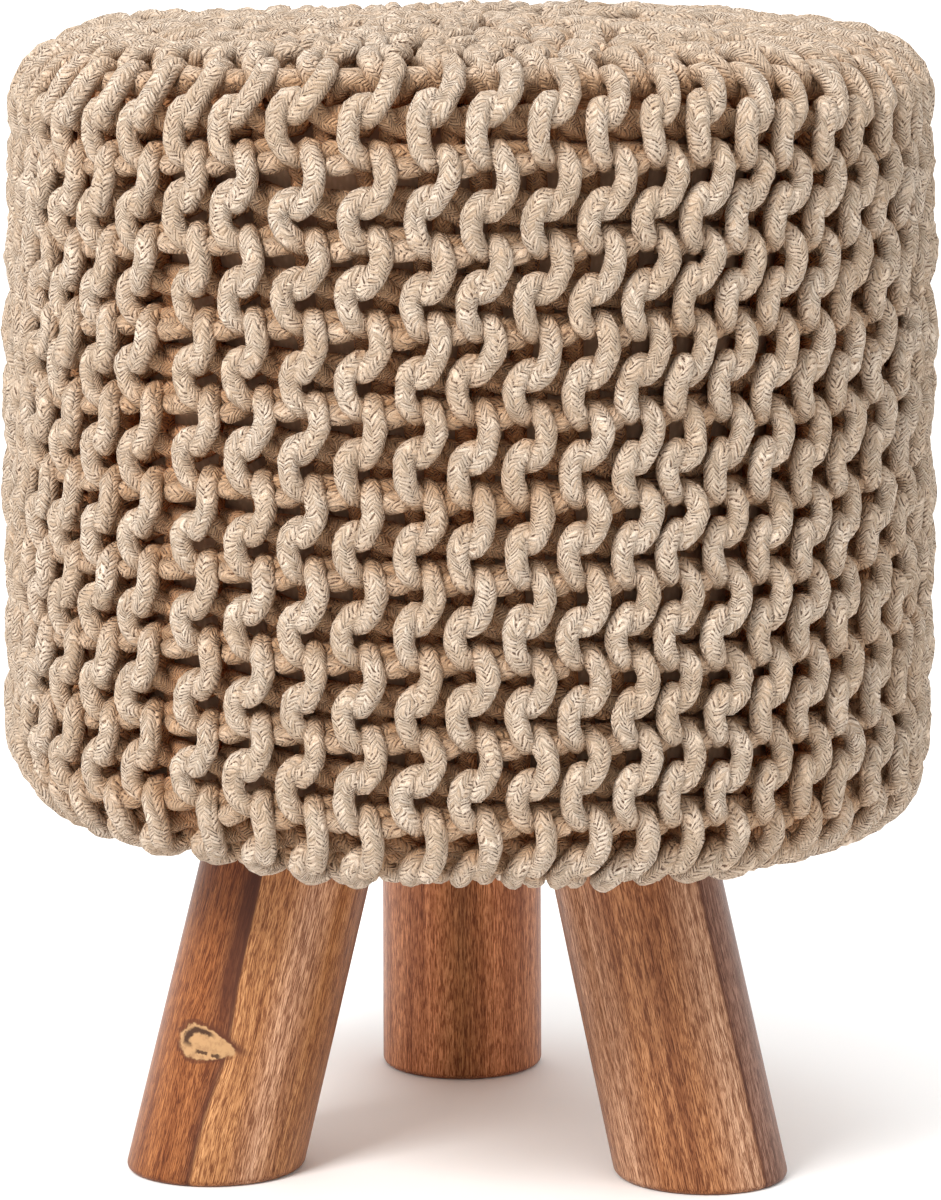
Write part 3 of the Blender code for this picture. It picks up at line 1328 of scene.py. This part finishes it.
@dataclass(frozen=True)
class Knot:
    """A knot in a leg: where it lies round and up the leg, its half sizes and its colours."""

    around: float = -0.0150
    rise: float = 0.0480
    half_width: float = 0.0124
    half_height: float = 0.0078
    raggedness: float = 0.34
    heart: Colour = (0.44, 0.255, 0.120)
    heart_grain: Colour = (0.227, 0.1164, 0.054)
    stroke: Colour = (0.040, 0.014, 0.007)
    shade: Colour = (0.085, 0.024, 0.010)
    grain_shift: float = 0.5
    grain_reach: float = 0.0120
    grain_height: float = 0.0200

    def part_grain(self, graph: Graph, around: Output, rise: Output) -> Output:
        """How far the grain is drawn in round the leg so that it flows past the knot.

        Args:
            graph: The material's nodes.
            around: Place round the leg.
            rise: Place up the leg.

        Returns:
            The shift round the leg.
        """
        off = around - self.around
        across, along = off / self.grain_reach, (rise - self.rise) / self.grain_height
        fall = graph.math("EXPONENT", -(across * across + along * along))
        return off * fall * -self.grain_shift

    def draw(self, graph: Graph, tone: Output, around: Output, rise: Output, blur: Output) -> Output:
        """Draws the knot: a pale heart, wide on the left, with a dark arc, marks and shaded edges.

        Places on the knot are shares of its half sizes from its middle.

        Args:
            graph: The material's nodes.
            tone: Colour of the wood so far.
            around: Place round the leg.
            rise: Place up the leg.
            blur: Fine noise round 0.5 that makes its edges uneven.

        Returns:
            The colour with the knot.
        """
        ragged = blur - 0.5
        across = (around - self.around) / self.half_width
        along = (rise - self.rise) / self.half_height
        narrowed = along / graph.math("MULTIPLY_ADD", across, -0.36, 0.80, clamp=True)
        far = graph.math("SQRT", across * across + narrowed * narrowed) + ragged * self.raggedness
        right_top = graph.between(across, -0.25, 0.35) * graph.between(along, -0.25, 0.25)
        shade = graph.between(far, 1.75, 1.05, 0.9) * right_top
        under = graph.line(far, 1.06, 0.16) * graph.between(along, -0.05, -0.5, 0.7)
        rim = graph.line(far, 1.08, 0.15) * graph.between(along, -0.1, 0.3, 0.7)
        arc = graph.line(far, 0.70, 0.20) * graph.between(across, 0.35, 0.05) \
            * graph.between(along, -0.45, -0.1, 0.95)
        marks = graph.line(ragged * 0.5 + along, -0.42, 0.15) \
            * graph.between(across, -0.32, -0.18) * graph.between(across, 0.66, 0.5) \
            * graph.between(abs(across - 0.22), 0.04, 0.09, 0.9)
        heart = graph.mix(graph.between(blur, 0.42, 0.68, 0.5), self.heart, self.heart_grain)
        tone = graph.mix(shade, tone, self.shade)
        tone = graph.mix(graph.between(far, 1.06, 0.94), tone, heart)
        tone = graph.mix(graph.math("MAXIMUM", under, rim), tone, self.shade)
        return graph.mix(graph.math("MAXIMUM", arc, marks), tone, self.stroke)


@dataclass(frozen=True)
class Seam:
    """The dark line where heartwood meets sapwood, stronger and with a shaded side higher up."""

    around: float = -0.0092
    half_width: float = 0.0014
    half_blur: float = 0.0004
    shade_reach: float = 0.011
    upper: Span = (0.040, 0.075)
    # Heights where the heartwood side darkens toward the leg's top: partly the wood's own colour,
    # partly painted shadow of the drum.
    top: Span = (0.078, 0.118)
    tone: Colour = (0.070, 0.020, 0.009)

    def draw(self, graph: Graph, tone: Output, flow: Output, rise: Output) -> Output:
        """Draws the seam.

        Args:
            graph: The material's nodes.
            tone: Colour of the wood so far.
            flow: Place round the leg, along the grain's flow.
            rise: Place up the leg.

        Returns:
            The colour with the seam.
        """
        upper = graph.between(rise, *self.upper)
        heart_side = graph.between(flow, self.around + self.half_blur, self.around - self.half_blur)
        line = graph.line(flow, self.around, self.half_width) * (upper * 0.4 + 0.55)
        far, near = self.around - self.shade_reach, self.around - 0.3 * self.shade_reach
        beside = graph.between(flow, far, near, 0.75) * heart_side * upper
        tone = graph.mix(graph.math("MAXIMUM", line, beside), tone, self.tone)
        # The heartwood side darkens toward the leg's top: partly the wood's own colour, partly
        # painted shadow of the drum.
        top = graph.between(rise, *self.top, 0.75) * heart_side
        return graph.mix(top, tone, DARK_GRAIN_AND_SHADE, "MULTIPLY")


class WoodTone(Enum):
    """The wood's colours."""

    HEART = (0.270, 0.094, 0.029)
    BROWN = (0.315, 0.130, 0.052)
    EDGE = (0.130, 0.040, 0.015)
    SAP = (0.355, 0.156, 0.059)
    ROSY = (0.450, 0.245, 0.142)
    # Honey wood, made lighter as painted light where the drum shades the back leg.
    HONEY_AND_PAINTED_LIGHT = (0.455, 0.174, 0.072)
    SHADED = (0.240, 0.118, 0.076)


@dataclass(frozen=True)
class Streaks:
    """A noise drawn out along the grain: its scales across and along it, its layers and offset."""

    across: float
    along: float
    detail: float
    offset: float

    def draw(self, graph: Graph, grain: Output, seed: float) -> Output:
        """The streaks, round 0.5, on coordinates whose third part runs along the grain."""
        scale = (self.across, self.across, self.along)
        placed = graph.place(grain, move=(seed + self.offset,) * 3, scale=scale)
        return graph.noise(placed, 1.0, self.detail, 0.6)


@dataclass(frozen=True)
class WoodFinish:
    """Brown wood under a satin lacquer: bands of colour round the leg, with the grain along it.

    The bands are in millimetres round the leg from the line that faces the front; the last colour
    is the first one's, so that the bands meet at the back.
    """

    name: str
    bands: tuple[tuple[float, WoodTone], ...]
    seed: float
    knot: Knot | None = None
    seam: Seam | None = None
    band_reach: float = 0.130
    band_wander: float = 0.0045
    wander: Streaks = Streaks(34.0, 9.0, 2.0, 1.0)
    figure: Streaks = Streaks(95.0, 4.0, 3.0, 3.0)
    streaks: Streaks = Streaks(480.0, 12.0, 3.0, 7.0)
    dashes: Streaks = Streaks(2600.0, 190.0, 2.0, 11.0)
    glints: Streaks = Streaks(2400.0, 170.0, 2.0, 19.0)
    figure_tints: tuple[Tint, Tint] = (
        Tint(DARK_GRAIN_AND_SHADE, (0.56, 0.36), 0.55), Tint(LIGHT_GRAIN, (0.52, 0.70), 0.5),
    )
    streak_tints: tuple[Tint, Tint] = (
        Tint(DARK_GRAIN_AND_SHADE, (0.50, 0.64), 0.7), Tint(LIGHT_GRAIN, (0.50, 0.36), 0.7),
    )
    pore: Tint = Tint((0.42, 0.30, 0.24), (0.47, 0.57), 0.95)
    glint: Tint = Tint((1.38, 1.50, 1.62), (0.47, 0.57))
    # Darker within a few millimetres of the floor.
    darker_near_floor: Tint = Tint(DARK_GRAIN_AND_SHADE, (0.0032, 0.00128), 0.6)
    knot_noise_scale: float = 420.0
    relief: float = 0.0002

    def leg_axes(self, graph: Graph, leg: "Leg") -> list[Output]:
        """The leg's own upright coordinates.

        Args:
            graph: The material's nodes.
            leg: The leg.

        Returns:
            Places across the leg, from its front to its back, and up it.
        """
        outward, splay = radians(leg.outward), radians(leg.splay)
        foot = (*leg.foot, 0.0)
        axes = graph.add("ShaderNodeVectorMath", {0: graph.point, 1: foot}, operation="SUBTRACT")
        for turn in ((0.0, 0.0, -outward), (0.0, splay, 0.0), (0.0, 0.0, outward)):
            axes = graph.place(axes, turn=turn)
        return graph.split(axes)

    def material(self, leg: "Leg") -> bpy.types.Material:
        """Builds the wood's material.

        Args:
            leg: The leg that it dresses.

        Returns:
            The material.
        """
        graph = Graph(self.name)
        side, depth, rise = self.leg_axes(graph, leg)
        around = graph.math("ARCTAN2", side, -depth) * leg.radius
        shift = self.knot.part_grain(graph, around, rise) if self.knot else 0.0
        grain = graph.combine(side + shift, depth, rise)
        wander, figure, streaks, dashes, glints = (
            kind.draw(graph, grain, self.seed)
            for kind in (self.wander, self.figure, self.streaks, self.dashes, self.glints)
        )
        flow = around + shift + (wander - 0.5) * self.band_wander
        stops = {0.5 + place * MM / self.band_reach: tone.value for place, tone in self.bands}
        tone = graph.ramp(flow * (1.0 / self.band_reach) + 0.5, stops)
        for value, tints in (
            (figure, self.figure_tints), (streaks, self.streak_tints), (dashes, (self.pore,)),
            (glints, (self.glint,)),
        ):
            for tint in tints:
                tone = tint.over(graph, tone, value)
        if self.seam:
            tone = self.seam.draw(graph, tone, flow, rise)
        if self.knot:
            blur = graph.noise(graph.combine(side, depth, rise), self.knot_noise_scale, 3.0, 0.6)
            tone = self.knot.draw(graph, tone, around, rise, blur)
        # Darker within a few millimetres of the floor.
        tone = self.darker_near_floor.over(graph, tone, graph.split(graph.point)[2])
        graph.bump(dashes * -0.5 + streaks * -0.5, self.relief, 0.4)
        return graph.dress(
            Base_Color=tone, Roughness=figure * 0.16 + 0.34,
            Specular_IOR_Level=0.14, Coat_Weight=0.12, Coat_Roughness=0.26,
        )


LEFT_LEG_BANDS = (
    (-60.0, WoodTone.HEART), (-14.0, WoodTone.HEART), (-9.4, WoodTone.EDGE), (-8.6, WoodTone.SAP),
    (4.0, WoodTone.SAP), (14.0, WoodTone.ROSY), (26.0, WoodTone.SAP), (60.0, WoodTone.HEART),
)
RIGHT_LEG_BANDS = (
    (-60.0, WoodTone.HEART), (-26.0, WoodTone.ROSY), (-14.0, WoodTone.BROWN), (6.0, WoodTone.BROWN),
    (18.0, WoodTone.ROSY), (24.4, WoodTone.ROSY), (25.2, WoodTone.EDGE), (27.0, WoodTone.SHADED),
    (42.0, WoodTone.SHADED), (60.0, WoodTone.HEART),
)
# The back leg's tone is partly painted light, lifted against the drum's shade on it.
BACK_LEG_BANDS = (
    (-60.0, WoodTone.HONEY_AND_PAINTED_LIGHT), (-12.0, WoodTone.HONEY_AND_PAINTED_LIGHT), (0.0, WoodTone.SAP), (14.0, WoodTone.HONEY_AND_PAINTED_LIGHT),
    (60.0, WoodTone.HONEY_AND_PAINTED_LIGHT),
)


@dataclass
class Leg:
    """One round leg that leans outward, cut level at the floor and under the drum.

    Its outward direction is an angle from +X toward +Y.
    """

    node: str
    foot: Span
    outward: float
    radius: float
    finish: WoodFinish
    splay: float = 15.0
    taper: float = 0.0009
    top: float = 0.1287
    foot_bevel: float = 0.0028
    sides: int = 96

    def build(self) -> bpy.types.Object:
        """Builds the leg.

        Returns:
            The piece.
        """
        splay, outward = radians(self.splay), radians(self.outward)
        length = (self.top + 4 * self.radius * tan(splay)) / cos(splay)
        run = tan(splay) * self.top / 2
        middle = (self.foot[0] - cos(outward) * run, self.foot[1] - sin(outward) * run, self.top / 2)
        axis = Vector((-sin(splay) * cos(outward), -sin(splay) * sin(outward), cos(splay)))
        deselect_all()
        bpy.ops.mesh.primitive_cone_add(
            vertices=self.sides, radius1=self.radius, radius2=self.radius - self.taper, depth=length,
            end_fill_type="NGON", location=middle, rotation=axis.to_track_quat("Z", "Y").to_euler(),
        )
        leg = active_piece(f"turned_{self.node}")
        for height, above in ((0.0, True), (self.top, False)):
            set_mode("EDIT")
            bpy.ops.mesh.select_all(action="SELECT")
            bpy.ops.mesh.bisect(
                plane_co=(0.0, 0.0, height), plane_no=(0.0, 0.0, 1.0), use_fill=True,
                clear_inner=above, clear_outer=not above,
            )
            set_mode("OBJECT")
        select_level(leg, "EDGE", 0.0)
        bpy.ops.mesh.bevel(offset=self.foot_bevel, segments=5, affect="EDGES")
        bpy.ops.mesh.select_all(action="SELECT")
        bpy.ops.mesh.normals_make_consistent(inside=False)
        set_mode("OBJECT")
        bpy.ops.object.shade_smooth_by_angle(angle=radians(32.0))
        leg.data.materials.append(self.finish.material(self))
        return leg


def make_legs() -> list[Leg]:
    """The left, right and back legs, where the frame has them."""
    left = WoodFinish("left_leg_wood", LEFT_LEG_BANDS, 2.0, Knot(), Seam())
    right = WoodFinish("right_leg_wood", RIGHT_LEG_BANDS, 11.0)
    back = WoodFinish("back_leg_wood", BACK_LEG_BANDS, 23.0)
    return [
        Leg("leg_left", (-0.0967, -0.0490), -153.5, 0.0330, left),
        Leg("leg_right", (0.0879, -0.0609), -34.6, 0.0322, right),
        Leg("leg_back", (-0.0028, 0.1117), 89.5, 0.0324, back),
    ]


@dataclass(frozen=True)
class Lamp:
    """A square soft light: its place, its side, its power in watts, its tint and what it faces."""

    name: str
    place: Point
    size: float
    power: float
    tint: Colour
    faces: Point = (0.0, 0.0, 0.25)

    def build(self) -> None:
        """Adds the light."""
        light = bpy.data.lights.new(self.name, "AREA")
        light.size = self.size
        light.energy = self.power
        light.color = self.tint
        holder = bpy.data.objects.new(self.name, light)
        holder.location = self.place
        aim = Vector(self.faces) - Vector(self.place)
        holder.rotation_euler = aim.to_track_quat("-Z", "Y").to_euler()
        bpy.context.scene.collection.objects.link(holder)


@dataclass
class Studio:
    """The pale floor, the soft lights and the camera at the photograph's angle."""

    floor_size: float = 30.0
    eye: Point = (0.0005, -2.0852, 0.561)
    pitch: float = 9.56
    focal_share: float = 4.5994
    sensor: float = 36.0
    view_end: float = 60.0
    world_tone: Colour = (1.0, 0.995, 0.985)
    world_strength: float = 0.90
    lamps: tuple[Lamp, ...] = (
        Lamp("key", (-1.4, -1.8, 2.15), 1.1, 86.0, (1.0, 0.985, 0.96)),
        Lamp("backdrop", (0.0, 7.0, 3.0), 8.0, 260.0, (1.0, 1.0, 1.0), (0.0, 7.0, 0.0)),
        Lamp("overhead", (0.2, -0.2, 3.2), 2.0, 30.0, (0.93, 0.97, 1.0)),
        Lamp("fill", (1.9, -1.6, 0.9), 1.6, 2.0, (1.0, 0.99, 0.98)),
    )

    def build(self) -> None:
        """Builds the floor, world, lights and camera."""
        scene = bpy.context.scene
        deselect_all()
        bpy.ops.mesh.primitive_plane_add(size=self.floor_size, location=(0.0, 0.0, 0.0))
        floor = active_piece("studio_floor")
        floor.data.materials.append(FloorFinish().material())
        world = bpy.data.worlds.new("studio")
        world.use_nodes = True
        sky = world.node_tree.nodes["Background"]
        sky.inputs["Color"].default_value = (*self.world_tone, 1.0)
        sky.inputs["Strength"].default_value = self.world_strength
        scene.world = world
        for lamp in self.lamps:
            lamp.build()
        camera = bpy.data.cameras.new("camera")
        camera.sensor_fit = "VERTICAL"
        camera.sensor_height = self.sensor
        camera.lens = self.focal_share * self.sensor
        camera.clip_end = self.view_end
        holder = bpy.data.objects.new("camera", camera)
        holder.location = self.eye
        holder.rotation_euler = (pi / 2 - radians(self.pitch), 0.0, 0.0)
        scene.collection.objects.link(holder)
        scene.camera = holder
        scene.view_settings.view_transform = "Standard"


def finish_piece(piece: bpy.types.Object, node: str) -> None:
    """Ties a piece to the frame and reports it.

    Args:
        piece: The piece.
        node: The frame's node that it stands for.
    """
    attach(piece, BODY)
    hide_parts(node)
    LOG.info("%s: %d faces", piece.name, len(piece.data.polygons))


def main() -> None:
    """Builds the pouf and its studio."""
    logging.basicConfig(level=logging.INFO, format="%(name)s %(message)s")
    Studio().build()
    for piece in KnitCover().build():
        finish_piece(piece, DRUM_NODE)
    core = DrumCore()
    cloth = core.build()
    finish_piece(cloth, DRUM_NODE)
    for leg in make_legs():
        finish_piece(leg.build(), leg.node)
    bpy.context.view_layer.update()


if __name__ == "__main__":
    main()
